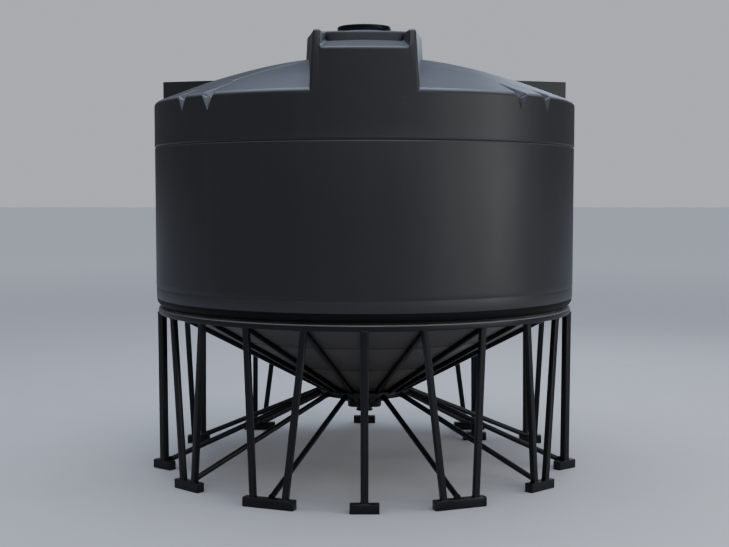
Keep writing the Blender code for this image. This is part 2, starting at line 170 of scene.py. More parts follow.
class Patchwork:
    """Grids of points that are joined into one closed mesh."""

    def __init__(self) -> None:
        """Starts with no points and no faces."""
        self.points: list[Array] = []
        self.faces: list[list[int]] = []
        self.count = 0

    def grid(self, points: Array, wrap_rows: bool = False, wrap_columns: bool = False) -> "Patchwork":
        """Adds a surface of quads over a grid of points.

        Args:
            points: Rows by columns by xyz.
            wrap_rows: Whether the last row joins the first.
            wrap_columns: Whether the last column joins the first.

        Returns:
            This patchwork.
        """
        rows, columns = points.shape[:2]
        index = np.arange(rows * columns).reshape(rows, columns) + self.count
        if wrap_rows:
            index = np.vstack([index, index[:1]])
        if wrap_columns:
            index = np.hstack([index, index[:, :1]])
        quads = np.stack([index[:-1, :-1], index[1:, :-1], index[1:, 1:], index[:-1, 1:]], -1)
        self.faces += quads.reshape(-1, 4).tolist()
        self.points.append(points.reshape(-1, 3))
        self.count += rows * columns
        return self

    def closed(self, points: Array) -> "Patchwork":
        """Adds a grid whose last row joins the first and whose last column joins the first."""
        return self.grid(points, wrap_rows=True, wrap_columns=True)

    def sides(self, layers: Array) -> "Patchwork":
        """Adds the four side walls of a stack of grids: layers by rows by columns by xyz."""
        self.grid(layers[:, 0]).grid(layers[:, -1])
        return self.grid(layers[:, :, 0]).grid(layers[:, :, -1])

    def cap(self, ring: Array) -> "Patchwork":
        """Adds one face over a flat closed line of points."""
        self.faces.append(list(range(self.count, self.count + len(ring))))
        self.points.append(ring)
        self.count += len(ring)
        return self

    def rings(self, rings: Array) -> "Patchwork":
        """Adds a solid through a row of closed lines, with its two ends closed."""
        return self.grid(rings, wrap_columns=True).cap(rings[0]).cap(rings[-1])

    def build(self, name: str, finish: "Finish", sharp: float = 35.0) -> bpy.types.Object:
        """Makes the object: doubles merged, faces outwards, smooth except over sharp edges.

        Args:
            name: The piece's name.
            finish: What the piece is made of.
            sharp: Edges that turn by more degrees than this stay sharp.

        Returns:
            The object, at the origin.
        """
        mesh = bpy.data.meshes.new(name)
        mesh.from_pydata(np.vstack(self.points), [], self.faces)
        work = bmesh.new()
        work.from_mesh(mesh)
        bmesh.ops.remove_doubles(work, verts=work.verts, dist=MERGE)
        bmesh.ops.recalc_face_normals(work, faces=work.faces)
        work.to_mesh(mesh)
        work.free()
        mesh.shade_smooth()
        mesh.set_sharp_from_angle(angle=math.radians(sharp))
        mesh.materials.append(finish.material())
        return new_object(name, mesh)


def round_edges(thing: bpy.types.Object, width: float, segments: int, above: float) -> None:
    """Rounds the sharp edges that reach above a height, with a live Bevel.

    Args:
        thing: The piece, its sharp edges marked.
        width: How far the rounding reaches from each edge.
        segments: Faces across each rounding.
        above: Edges that stay below this height keep their shape.
    """
    mesh = thing.data
    ends = np.empty(2 * len(mesh.edges), np.int32)
    mesh.edges.foreach_get("vertices", ends)
    place = np.empty(3 * len(mesh.vertices))
    mesh.vertices.foreach_get("co", place)
    sharp = np.zeros(len(mesh.edges), bool)
    mesh.attributes["sharp_edge"].data.foreach_get("value", sharp)
    chosen = sharp & (place.reshape(-1, 3)[ends.reshape(-1, 2), 2].max(1) > above)
    weight = mesh.attributes.new("bevel_weight_edge", "FLOAT", "EDGE")
    weight.data.foreach_set("value", chosen.astype(np.float32))
    bevel = thing.modifiers.new("Bevel", "BEVEL")
    bevel.width = width
    bevel.segments = segments
    bevel.limit_method = "WEIGHT"
    bevel.harden_normals = True
    bevel.miter_outer = "MITER_ARC"


def bar(start: Array, end: Array, side: Array, section: Array) -> Array:
    """A straight bar's rings: each end's centre plus the section along side and its square.

    Args:
        start: The centre of one end.
        end: The centre of the other end.
        side: Direction of the section's first axis.
        section: The section's closed 2-D line.

    Returns:
        Two rings of points.
    """
    along = unit(end - start)
    side = unit(side - along * (side @ along))
    other = np.cross(along, side)
    ring = section[:, :1] * side + section[:, 1:] * other
    return np.stack([start + ring, end + ring])


def cut(ring: Array, along: Array, point: Array, normal: Array) -> Array:
    """Slides a ring's points along a direction until they lie in a plane."""
    travel = (point - ring) @ normal / (along @ normal)
    return ring + travel[:, None] * along


def bead(ring: Array, normal: Array, radius: float, count: int, seed: int) -> Array:
    """A weld bead round a joint: a small tube whose radius swells at each ripple.

    The radius is r (1 + 0.16 sin(ripple) + noise), where a ripple is about 3 r long.

    Args:
        ring: The joint's closed line of points.
        normal: The direction that the joint's plane faces.
        radius: The bead's mean radius.
        count: Sections round the joint.
        seed: For the unevenness.

    Returns:
        A grid of points, closed both ways.
    """
    rng = np.random.default_rng(seed)
    loop = resample(ring, count)
    outward = unit(loop - loop.mean(0))
    length = np.linalg.norm(np.roll(loop, -1, axis=0) - loop, axis=1).sum()
    ripples = max(3, round(length / (3.0 * radius)))
    phase = np.linspace(0.0, 2 * np.pi * ripples, count, endpoint=False)
    size = radius * (1 + 0.16 * np.sin(phase) + rng.uniform(-0.10, 0.10, count))
    turn = np.linspace(0.0, 2 * np.pi, 6, endpoint=False)
    lift = np.cos(turn)[None, :, None] * outward[:, None] + np.sin(turn)[None, :, None] * normal
    return loop[:, None] + size[:, None, None] * lift


def resample(loop: Array, count: int) -> Array:
    """Points spaced evenly along a closed line."""
    closed = np.vstack([loop, loop[:1]])
    reach = np.concatenate([[0.0], np.cumsum(np.linalg.norm(np.diff(closed, axis=0), axis=1))])
    where = np.linspace(0.0, reach[-1], count, endpoint=False)
    return np.stack([np.interp(where, reach, closed[:, axis]) for axis in range(3)], -1)


# Shader maths

class Signal:
    """A shader socket. Python's operators on it add Math nodes."""

    def __init__(self, graph: "Graph", socket: bpy.types.NodeSocket) -> None:
        """Wraps one output socket of a graph."""
        self.graph = graph
        self.socket = socket

    def math(self, operation: str, *others: "Signal | float") -> "Signal":
        """A Math node over this signal and the others, in order."""
        return self.graph.math(operation, self, *others)

    def __add__(self, other: "Signal | float") -> "Signal":
        """The sum."""
        return self.math("ADD", other)

    def __sub__(self, other: "Signal | float") -> "Signal":
        """The difference."""
        return self.math("SUBTRACT", other)

    def __rsub__(self, number: float) -> "Signal":
        """The difference from a number."""
        return self.graph.math("SUBTRACT", number, self)

    def __mul__(self, other: "Signal | float") -> "Signal":
        """The product."""
        return self.math("MULTIPLY", other)

    def step(self, low: float, high: float) -> "Signal":
        """0 below low, 1 above high, and a smooth rise between them; falls if high is lower."""
        inputs = {"Value": self, "From Min": low, "From Max": high}
        return self.graph.node("ShaderNodeMapRange", {"interpolation_type": "SMOOTHSTEP"}, inputs)


class Graph:
    """A node tree that is built from signals."""

    def __init__(self, tree: bpy.types.NodeTree) -> None:
        """Wraps a tree."""
        self.tree = tree

    def node(self, kind: str, settings: dict | None = None, inputs: dict | None = None,
             output: int | str | None = 0) -> Signal | None:
        """Adds a node.

        Args:
            kind: The node's type.
            settings: Its properties, set first.
            inputs: Values or signals for its sockets, by name or number.
            output: Which output to return, or None for a node that has none.

        Returns:
            The output as a signal.
        """
        made = self.tree.nodes.new(kind)
        for name, value in (settings or {}).items():
            setattr(made, name, value)
        for name, value in (inputs or {}).items():
            self.feed(made.inputs[name], value)
        return None if output is None else Signal(self, made.outputs[output])

    def feed(self, socket: bpy.types.NodeSocket, value: "Signal | float | tuple") -> None:
        """Links a signal to a socket, or sets its number or colour."""
        if isinstance(value, Signal):
            self.tree.links.new(value.socket, socket)
        elif isinstance(value, tuple) and socket.type == "RGBA":
            socket.default_value = (*value, 1.0)
        else:
            socket.default_value = value

    def math(self, operation: str, *values: Signal | float) -> Signal:
        """A Math node over the values, in order."""
        return self.node("ShaderNodeMath", {"operation": operation}, dict(enumerate(values)))

    def reach(self, across: Signal, depth: Signal) -> Signal:
        """The distance from the tank's axis."""
        return (across * across + depth * depth).math("SQRT")

    def place(self) -> Signal:
        """Object coordinates, in metres."""
        return self.node("ShaderNodeTexCoord", output="Object")

    def facing(self) -> Signal:
        """The surface's normal."""
        return self.node("ShaderNodeNewGeometry", output="Normal")

    def split(self, vector: Signal) -> tuple[Signal, Signal, Signal]:
        """A vector's three parts."""
        made = self.tree.nodes.new("ShaderNodeSeparateXYZ")
        self.feed(made.inputs[0], vector)
        return tuple(Signal(self, made.outputs[axis]) for axis in range(3))

    def stretch(self, vector: Signal, scale: tuple[float, float, float]) -> Signal:
        """A vector multiplied axis by axis."""
        return self.node("ShaderNodeVectorMath", {"operation": "MULTIPLY"}, {0: vector, 1: scale})

    def noise(self, vector: Signal, scale: float, detail: float, rough: float = 0.5) -> Signal:
        """Noise about 0.5, with features of roughly 1 / scale metres."""
        inputs = {"Vector": vector, "Scale": scale, "Detail": detail, "Roughness": rough}
        return self.node("ShaderNodeTexNoise", None, inputs, "Fac")

    def blend(self, share: Signal, first: "Signal | tuple", second: "Signal | tuple") -> Signal:
        """First colour where share is 0 and second where it is 1."""
        made = self.tree.nodes.new("ShaderNodeMix")
        made.data_type = "RGBA"
        self.feed(made.inputs["Factor"], share)
        self.feed(made.inputs[6], first)
        self.feed(made.inputs[7], second)
        return Signal(self, made.outputs[2])

    def relief(self, height: Signal, distance: float) -> Signal:
        """A normal bent by a height map of 0 to 1, distance metres high."""
        return self.node("ShaderNodeBump", None, {"Height": height, "Distance": distance, "Strength": 1.0})

    def feed_shader(self, sockets: dict) -> None:
        """Feeds the sockets of the tree's Principled shader, by their names."""
        shader = self.tree.nodes["Principled BSDF"]
        for name, value in sockets.items():
            self.feed(shader.inputs[name], value)


# Finishes

@dataclass(frozen=True)
class Finish:
    """What a piece is made of."""

    name: str
    colour: tuple[float, float, float]
    roughness: float

    def material(self) -> bpy.types.Material:
        """The finish's material, made once."""
        made = bpy.data.materials.get(self.name)
        if made is None:
            made = bpy.data.materials.new(self.name)
            made.use_nodes = True
            self.wire(Graph(made.node_tree))
        return made

    def wire(self, graph: Graph) -> None:
        """Wires the material's nodes."""
        graph.feed_shader({"Base Color": self.colour, "Roughness": self.roughness})


@dataclass(frozen=True)
class MouldedPlastic(Finish):
    """Polyethylene from a hot mould: pebbled, slowly waved, with rain runs, dust whose blue tint is a
    painted sky reflection, and a painted highlight on upward roundings.
    """

    # Upward faces take this colour: dust, its blue tint a painted sky reflection.
    dust_and_sheen: tuple[float, float, float] = (0.036, 0.041, 0.056)
    # Roundings that turn upwards take this colour: a painted highlight.
    edge: tuple[float, float, float] = (0.034, 0.034, 0.037)
    ior: float = 1.46

    def wire(self, graph: Graph) -> None:
        """Wires pebble, waves, rain runs on the wall, dust with a painted sky reflection where the surface
        faces up, and a painted highlight on roundings that turn up.
        """
        place = graph.place()
        _, _, up = graph.split(graph.facing())
        runs = graph.noise(graph.stretch(place, (9.0, 9.0, 0.5)), 1.0, 3.0, 0.6)
        cloud = graph.noise(place, 2.2, 3.0, 0.55)
        speck = graph.noise(place, 160.0, 1.0)
        # Upward faces blend to the dust colour, whose blue tint is a painted sky reflection.
        dust_and_sheen_share = up.step(0.25, 0.95) * cloud.step(0.25, 0.75) * 0.45
        washed = runs.step(0.52, 0.75) * (1 - up.step(0.0, 0.4)) * 0.08
        share = dust_and_sheen_share + washed + speck.step(0.62, 0.80) * 0.08
        rough = (cloud - 0.5) * 0.10 + (runs - 0.5) * 0.06 + dust_and_sheen_share * 0.12 + self.roughness
        # Roundings that turn upwards take the edge colour: a painted highlight.
        turned = up.step(0.28, 0.60) * up.step(0.955, 0.86)
        colour = graph.blend(turned, graph.blend(share, self.colour, self.dust_and_sheen), self.edge)
        colour, rough = self.zones(graph, place, colour, rough)
        pebble = graph.noise(place, 420.0, 1.0)
        waves = graph.noise(place, 3.0, 2.0)
        relief = pebble * 0.05 + waves * 0.95
        graph.feed_shader({"Base Color": colour, "Roughness": rough, "IOR": self.ior,
                           "Normal": graph.relief(relief, 0.0035)})

    def zones(self, graph: Graph, place: Signal, colour: Signal, rough: Signal) -> tuple[Signal, Signal]:
        """Leaves the colour and the roughness the same all over."""
        return colour, rough


@dataclass(frozen=True)
class TankPlastic(MouldedPlastic):
    """The tank's plastic, with painted light: brown painted bounce light on the cone, near-black painted
    shade on the corner and in the darts, paler on the band.
    """

    # Painted light in the zones: the cone's brown is painted bounce light from the floor, paler at its
    # sides as a painted sheen; the near-black corner colour is painted shade, also used for the dark joint
    # lines; lit and unlit are painted light and shade on the darts' walls; the band is paler.
    cone: tuple[float, float, float] = (0.072, 0.067, 0.062)
    cone_side_painted_sheen: tuple[float, float, float] = (0.185, 0.178, 0.170)
    corner: tuple[float, float, float] = (0.0010, 0.0010, 0.0010)
    band: tuple[float, float, float] = (0.0165, 0.0165, 0.0180)
    lit: tuple[float, float, float] = (0.070, 0.070, 0.074)
    unlit: tuple[float, float, float] = (0.012, 0.012, 0.014)

    def zones(self, graph: Graph, place: Signal, colour: Signal, rough: Signal) -> tuple[Signal, Signal]:
        """Changes the colour with the height, and in the darts with the way the surface leans.

        The lean is the normal's part along the tangent, taken towards the front. It is above 0 on
        each dart's outer wall, which gets painted light on the left and painted shade on the right, and
        below 0 on its inner wall, which gets painted shade. Near the axis both walls of the fine crease
        get painted shade. By the height, the corner under the band fades to painted shade, and the
        cone takes a painted bounce light, paler at its sides as a painted sheen.
        """
        across, depth, height = graph.split(place)
        side, front, _ = graph.split(graph.facing())
        radius = graph.reach(across, depth)
        lean = ((side * depth - front * across) * across.math("SIGN")).math("DIVIDE", radius)
        # Painted light and shade on the darts: outer walls lit on the left and shaded on the right, inner
        # walls and the crease near black.
        wall = graph.blend(across.step(-0.1, 0.1), self.lit, self.unlit)
        colour = graph.blend(lean.step(0.15, 0.55) * radius.step(0.96, 1.02), colour, wall)
        inner = lean.step(-0.15, -0.45) + lean.step(0.15, 0.45) * radius.step(1.00, 0.96)
        colour = graph.blend(inner, colour, self.corner)
        band = height.step(1.004, 1.010) * height.step(1.068, 1.064)
        # Below the band the colour fades to near black: painted shade on the rounded corner.
        under = height.step(1.008, 0.990)
        cone = height.step(0.962, 0.950)
        colour = graph.blend(band, colour, self.band)
        # The cone's brown is painted bounce light from the floor, paler at its sides as a painted sheen;
        # the joint lines are dark.
        aside = across.math("ABSOLUTE").math("DIVIDE", radius)
        below = graph.blend(aside.step(0.42, 0.85), self.cone, self.cone_side_painted_sheen)
        for joint in CONE_JOINTS:
            below = graph.blend((radius - joint).math("ABSOLUTE").step(0.007, 0.003), below, self.corner)
        colour = graph.blend(cone, graph.blend(under, colour, self.corner), below)
        return colour, rough + under * 0.25 - cone * 0.10


@dataclass(frozen=True)
class SteelPaint(Finish):
    """Brushed black paint over steel: orange peel, dust on the tops, a painted highlight where that colour
    is pale and even, and grit near the floor.
    """

    # Upward faces take this colour: dust on most pieces, a painted highlight on the ring.
    dust_and_sheen: tuple[float, float, float] = (0.030, 0.028, 0.027)
    dust_and_sheen_amount: float = 0.40
    even: float = 0.0

    def wire(self, graph: Graph) -> None:
        """Wires the peel, a patchy gloss, dust on upward faces, which is a painted highlight where pale and
        even, and grit that fades with height.
        """
        place = graph.place()
        _, _, height = graph.split(place)
        _, _, up = graph.split(graph.facing())
        patch = graph.noise(place, 14.0, 3.0, 0.6)
        speck = graph.noise(place, 260.0, 2.0, 0.6)
        spread = patch.step(0.35, 0.65) * (1 - self.even) + self.even
        # Upward faces blend to the dust colour; on the ring it is a painted highlight along the top.
        dust_and_sheen_share = up.step(0.3, 1.0) * spread * self.dust_and_sheen_amount
        grit = speck.step(0.58, 0.72) * (height.step(0.30, 0.0) * 0.35 + 0.04)
        colour = graph.blend(dust_and_sheen_share + grit, self.colour, self.dust_and_sheen)
        rough = (patch - 0.5) * 0.16 + grit * 0.5 + self.roughness
        peel = graph.noise(place, 190.0, 2.0)
        graph.feed_shader({"Base Color": colour, "Roughness": rough, "IOR": 1.36,
                           "Normal": graph.relief(peel, 0.0006)})


@dataclass(frozen=True)
class FloorFinish(Finish):
    """A plain pale floor with a faint cloud in it, paler and warmer far away."""

    far: tuple[float, float, float] = (0.90, 0.86, 0.78)

    def wire(self, graph: Graph) -> None:
        """Wires the cloud and the change with the distance."""
        place = graph.place()
        across, depth, _ = graph.split(place)
        away = graph.reach(across, depth).step(2.0, 22.0)
        lighter = tuple(part * 1.08 for part in self.colour)
        near = graph.blend(graph.noise(place, 3.0, 3.0, 0.6), self.colour, lighter)
        graph.feed_shader({"Base Color": graph.blend(away, near, self.far), "Roughness": self.roughness})


class Paint(Enum):
    """The finishes of this tank."""

    # The shell's pale edge colour is a painted highlight on the shoulder's crest and other upward
    # roundings.
    SHELL = TankPlastic("tank_black", (0.0100, 0.0100, 0.0108), 0.44, edge=(0.085, 0.085, 0.090))
    # Near black on the rounded corner under the band: painted shade.
    PAINTED_SHADE_CORNER = MouldedPlastic("corner_painted_shade", (0.0015, 0.0015, 0.0015), 0.60, (0.002, 0.002, 0.002),
                            (0.002, 0.002, 0.002), 1.24)
    # The block's default edge colour is a painted highlight on the upper edges of the lugs and the cheeks.
    BLOCK = MouldedPlastic("moulded_black", (0.0100, 0.0100, 0.0108), 0.44, (0.010, 0.010, 0.012))
    NECK = MouldedPlastic("neck_black", (0.0105, 0.0105, 0.0115), 0.46, (0.012, 0.012, 0.014),
                          (0.010, 0.010, 0.011))
    # The lid's paler edge colour is a painted highlight on its upper rim.
    LID = MouldedPlastic("lid_black", (0.0015, 0.0015, 0.0017), 0.30, (0.004, 0.004, 0.005),
                         (0.020, 0.020, 0.021), 1.25)
    STEEL = SteelPaint("stand_paint", (0.0030, 0.0031, 0.0036), 0.33)
    # The ring's pale, even colour on its upward faces is a painted highlight along its top.
    RING = SteelPaint("ring_paint", (0.0030, 0.0031, 0.0036), 0.36, (0.30, 0.30, 0.30), 0.95, 0.9)
    FITTING = SteelPaint("fitting_black", (0.0040, 0.0040, 0.0045), 0.45)
    FLOOR = FloorFinish("floor_pale", (0.52, 0.50, 0.475), 0.85)


# Tank

def settle(piece: bpy.types.Object, body: str, slot: str, *nodes: str) -> bpy.types.Object:
    """Sets a piece in the frame.

    Args:
        piece: The finished piece.
        body: The body that it rides on.
        slot: The record's material slot. Not used.
        nodes: The CAD nodes that it stands for.

    Returns:
        The piece.
    """
    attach(piece, body)
    if nodes:
        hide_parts(*nodes)
    return piece


@dataclass(frozen=True)
class Groove:
    """A dart pressed into the roof's edge: a V that opens up the wall and closes along the roof."""

    angle: float
    end_radius: float
    tip_z: float
    half_width: float = 0.044
    depth: float = 0.046
    mouth: float = 0.082
    lip: float = 0.0015

    def press(self, points: Array, climb: Array, outward: Array, side: int) -> Array:
        """Presses the dart into a grid of points.

        The dart's line is radial. Its half width w grows evenly from 0 at the tip to the mouth and
        shrinks evenly to 0 at the end. A point at a distance d from the line sinks by
        depth sqrt(w / w mouth) (1 - d / w). Along both edges a lip stands up, a bell curve of d.

        Args:
            points: Grid of points, one row per profile point.
            climb: How far along the profile each row is from the tip's height.
            outward: The profile's outward direction for each row, as (radial, upward).
            side: -1 for the left, 1 for the right.

        Returns:
            The moved points.
        """
        line = polar(1.0, side * self.angle, 0.0)[:2]
        aside = np.abs(points[..., 0] * line[1] - points[..., 1] * line[0])
        near = points[..., :2] @ line > 0
        radius = np.hypot(points[..., 0], points[..., 1])
        last = self.mouth + 1.06 * (radius.max() - 0.034 - self.end_radius)
        spans = [0.0, self.mouth, last]
        half = np.interp(climb, spans, [0.0, self.half_width, 0.0], left=0.0)[:, None] + 1e-9
        share = half / self.half_width
        sink = self.depth * np.sqrt(share) * np.clip(1 - aside / half, 0.0, 1.0)
        rise = self.lip * np.sqrt(share) * np.exp(-((aside - half - 0.003) / 0.0035) ** 2)
        travel = np.where(near, rise - sink, 0.0)[..., None]
        away = points[..., :2] / radius[..., None]
        moved = points.copy()
        moved[..., :2] += travel * outward[:, None, :1] * away
        moved[..., 2:] += travel * outward[:, None, 1:]
        return moved


@dataclass
class TankShell:
    """The moulding: cone, corner, wall with its seam and band, shoulder, domed roof and lugs."""

    lower: float = 1.2197
    upper: float = 1.2205
    thick: float = 0.012
    rings: tuple[tuple[float, float], ...] = (
        (1.2205, 2.1120), (1.020, 2.1905), (0.920, 2.2275), (0.800, 2.2660), (0.650, 2.3090),
        (0.500, 2.3435), (0.343, 2.3680), (0.150, 2.3830))
    shoulder: float = 0.031
    hole: float = 0.150
    cone_slope: float = 0.53
    cone_top: tuple[float, float] = (1.1950, 0.9635)
    cone_end: float = 0.160
    seam_z: float = 1.864
    band_z: tuple[float, float] = (1.006, 1.069)
    corner_z: float = 0.957
    crease: tuple[tuple[float, float], ...] = ((0.690, -0.745), (0.305, -0.490))
    crease_depth: float = 0.007
    crease_half: float = 0.009
    lug_angle: float = 107.0
    lug_half: float = 0.250
    lug_top: float = 2.266
    lug_inner: float = 0.772
    lug_edge: float = 0.011
    grooves: tuple[Groove, ...] = (Groove(41.3, 1.015, 2.027), Groove(51.9, 1.095, 2.037))

    def dome(self) -> Array:
        """The roof's line from the shoulder's rounding in to the hole, its corners rounded.

        The rows lie close together over the darts and the creases and wide apart inside them.
        """
        (far, low), (near, high) = self.rings[:2]
        tilt = math.atan((high - low) / (far - near))
        tangent = self.shoulder * math.tan((math.pi / 2 - tilt) / 2)
        turn = np.linspace(0.0, math.pi / 2 - tilt, 14)
        arc = np.stack([self.upper - self.shoulder * (1 - np.cos(turn)),
                        low - tangent + self.shoulder * np.sin(turn)], -1)
        line = soften(np.vstack([arc[-1:], self.rings[1:]]), 0.07, 8, False)
        radius = np.concatenate([np.arange(arc[-1, 0] - 0.004, 0.99, -0.0055),
                                 np.linspace(0.985, 0.56, 72),
                                 np.linspace(0.53, 0.36, 5), [0.34, 0.30, 0.20, self.hole]])
        panel = np.stack([radius, np.interp(radius, line[::-1, 0], line[::-1, 1])], -1)
        return np.vstack([arc, panel])

    def roof_z(self, radius: Array | float) -> Array | float:
        """The height of the roof's outer face at a radius."""
        line = self.dome()[::-1]
        return np.interp(radius, line[:, 0], line[:, 1])

    def cone_z(self, radius: Array | float) -> Array | float:
        """The cone's height: it falls by the cone's slope towards the axis."""
        return self.cone_top[1] - self.cone_slope * (self.cone_top[0] - radius)

    def angles(self) -> Array:
        """Angles for the skin: close together over the darts and wide apart elsewhere."""
        fine, middle, wide = 0.16, 0.4, 1.3
        half = [0.0]
        while half[-1] < 179.0:
            near = min(abs(half[-1] - groove.angle) for groove in self.grooves)
            on_crease = 30.5 < half[-1] < 44.0
            half.append(half[-1] + (fine if near < 2.5 else middle if on_crease else wide))
        half = np.array(half) * 180.0 / half[-1]
        return np.concatenate([half, 360.0 - half[-2:0:-1]])

    def outside(self) -> Array:
        """The outer profile as (radius, height), from the outlet round the cone to the roof hole."""
        end_z = self.cone_z(self.cone_end)
        cone = [(0.045, end_z), (self.cone_end, end_z)]
        for joint in CONE_JOINTS:
            cone += [(joint + offset, self.cone_z(joint + offset) + sink) for offset, sink in JOINT_SECTION]
        low, high = self.band_z
        foot = np.array([(1.150, self.cone_z(1.150)), (1.2160, 0.9746), (self.lower - 0.004, low + 0.02)])
        corner = soften(foot, 0.05, 8, False)[:-1]
        band = [(self.lower - 0.0030, low), (self.lower - 0.0015, low + 0.003),
                (self.lower - 0.0010, high - 0.004), (self.lower - 0.0020, high),
                (self.lower - 0.0012, high + 0.004), (self.lower, high + 0.010)]
        seam = self.seam_z
        wall = [(self.lower, 1.10), (self.lower, 1.45), (self.lower, seam - 0.012),
                (self.lower - 0.0005, seam - 0.007), (self.lower - 0.004, seam - 0.004),
                (self.lower - 0.004, seam - 0.001), (self.upper - 0.001, seam + 0.001),
                (self.upper + 0.0015, seam + 0.006), (self.upper + 0.001, seam + 0.012),
                (self.upper, seam + 0.020), (self.upper, 1.95)]
        dome = self.dome()
        upright = [(self.upper, z) for z in np.arange(2.015, dome[0, 1], 0.0042)]
        return np.vstack([cone, corner, band, wall, upright, dome])

    def inside(self) -> Array:
        """The inner profile, from the roof hole back down to the outlet."""
        wall = self.lower - self.thick
        rise = self.thick * math.hypot(1.0, self.cone_slope)
        panel = np.concatenate([[self.hole, 0.30, 0.50], np.arange(0.75, wall - 0.03, 0.030)])
        roof = np.stack([panel, self.roof_z(panel) - self.thick * 1.1], -1)
        edge_z = self.rings[0][1]
        edge = [(wall - 0.012, edge_z - 0.018), (wall, edge_z - 0.040), (wall, 2.04), (wall, 2.02),
                (wall, 1.98), (wall, 1.05), (wall - 0.03, self.cone_z(wall - 0.03) + rise)]
        end_z = self.cone_z(self.cone_end) + rise
        cone = [(self.cone_end, end_z), (0.045, end_z)]
        return np.vstack([roof, edge, cone])

    def creased(self, points: Array, side: int) -> Array:
        """Sinks a fine V along a straight line on the roof, on the left (-1) or the right (1)."""
        start, end = (np.array([side * x, y]) for x, y in self.crease)
        line = unit(end - start)
        offset = points[..., :2] - start
        along = offset @ line
        aside = np.abs(offset[..., 0] * line[1] - offset[..., 1] * line[0])
        length = np.linalg.norm(end - start)
        on_roof = (points[..., 2] > 2.12) & (along > 0.0) & (along < length)
        depth = self.crease_depth * np.clip(1 - aside / self.crease_half, 0.0, 1.0)
        sunk = points.copy()
        sunk[..., 2] -= np.where(on_roof, depth, 0.0)
        return sunk

    def pressed(self, profile: Array, angles: Array, upwards: bool) -> Array:
        """Turns a profile into a grid and presses the four darts into it.

        Args:
            profile: Points of (radius, height).
            angles: The grid's angles.
            upwards: Whether the profile runs up the wall; otherwise it runs down.

        Returns:
            The grid.
        """
        points = lathe(profile, angles)
        order = 1 if upwards else -1
        along = unit(np.gradient(profile, axis=0)) * order
        outward = np.stack([along[:, 1], -along[:, 0]], -1)
        length = np.concatenate([[0.0], np.cumsum(np.linalg.norm(np.diff(profile, axis=0), axis=1))])
        for groove in self.grooves:
            off_tip = np.abs(profile[:, 0] - profile[:, 0].max()) + np.abs(profile[:, 1] - groove.tip_z)
            climb = (length - length[np.argmin(off_tip)]) * order
            for side in (-1, 1):
                points = groove.press(points, climb, outward, side)
        return points

    def skin(self) -> bpy.types.Object:
        """The whole moulding as one closed skin, its darts pressed through both faces.

        The faces of the rounded corner under the band get a near-black material of their own: painted
        shade.
        """
        angles = self.angles()
        outer = self.pressed(self.outside(), angles, True)
        inner = self.pressed(self.inside(), angles, False)
        for side in (-1, 1):
            outer = self.creased(outer, side)
        whole = Patchwork().closed(np.concatenate([outer, inner]))
        skin = whole.build("tank_skin", Paint.SHELL.value, 50.0)
        centre = np.empty(3 * len(skin.data.polygons))
        skin.data.polygons.foreach_get("center", centre)
        on_corner = (centre[2::3] > self.corner_z) & (centre[2::3] < self.band_z[0])
        # The corner's faces get the near-black painted shade material.
        skin.data.materials.append(Paint.PAINTED_SHADE_CORNER.value.material())
        skin.data.polygons.foreach_set("material_index", on_corner.astype(np.int32))
        return skin

    def lug(self, side: int, name: str) -> bpy.types.Object:
        """A rear lug: a plain radial box that runs out into the dome, its edges rounded.

        Its outer face follows the wall's circle, its inner edge the circle at which the dome
        reaches the lug's top, and its underside dips under the dome's face.

        Args:
            side: -1 for the left, 1 for the right.
            name: The piece's name.

        Returns:
            The lug.
        """
        outward = polar(1.0, side * self.lug_angle, 0.0)
        across = polar(1.0, side * self.lug_angle + 90.0, 0.0)
        offset = np.linspace(-self.lug_half, self.lug_half, 9)[None, :]
        outer = np.sqrt((self.upper - 0.012) ** 2 - offset ** 2)
        inner = np.sqrt(self.lug_inner ** 2 - offset ** 2)
        radius = inner + (outer - inner) * np.linspace(0.0, 1.0, 5)[:, None]
        flat = radius[..., None] * outward + offset[..., None] * across
        reach = np.hypot(radius, offset)
        high = np.broadcast_to(self.lug_top, reach.shape)
        low = np.minimum(self.roof_z(reach) - DIP, high - 0.003)
        layers = np.stack([flat + z[..., None] * np.array([0, 0, 1.0]) for z in (low, high)])
        box = Patchwork().grid(layers[0]).grid(layers[-1]).sides(layers)
        lug = box.build(name, Paint.BLOCK.value)
        round_edges(lug, self.lug_edge, 4, 2.2)
        return lug

    def dress(self) -> list[bpy.types.Object]:
        """Builds the moulding and the lugs and sets them in the frame."""
        walls = [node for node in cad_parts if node.startswith("tank_wall_")]
        skin = settle(self.skin(), "tank", "tank_roof", *walls, "tank_roof", "tank_bottom_cone")
        left = settle(self.lug(-1, "lug_left"), "tank", "rear_lug_left", "rear_lug_left")
        right = settle(self.lug(1, "lug_right"), "tank", "rear_lug_right", "rear_lug_right")
        return [skin, left, right]


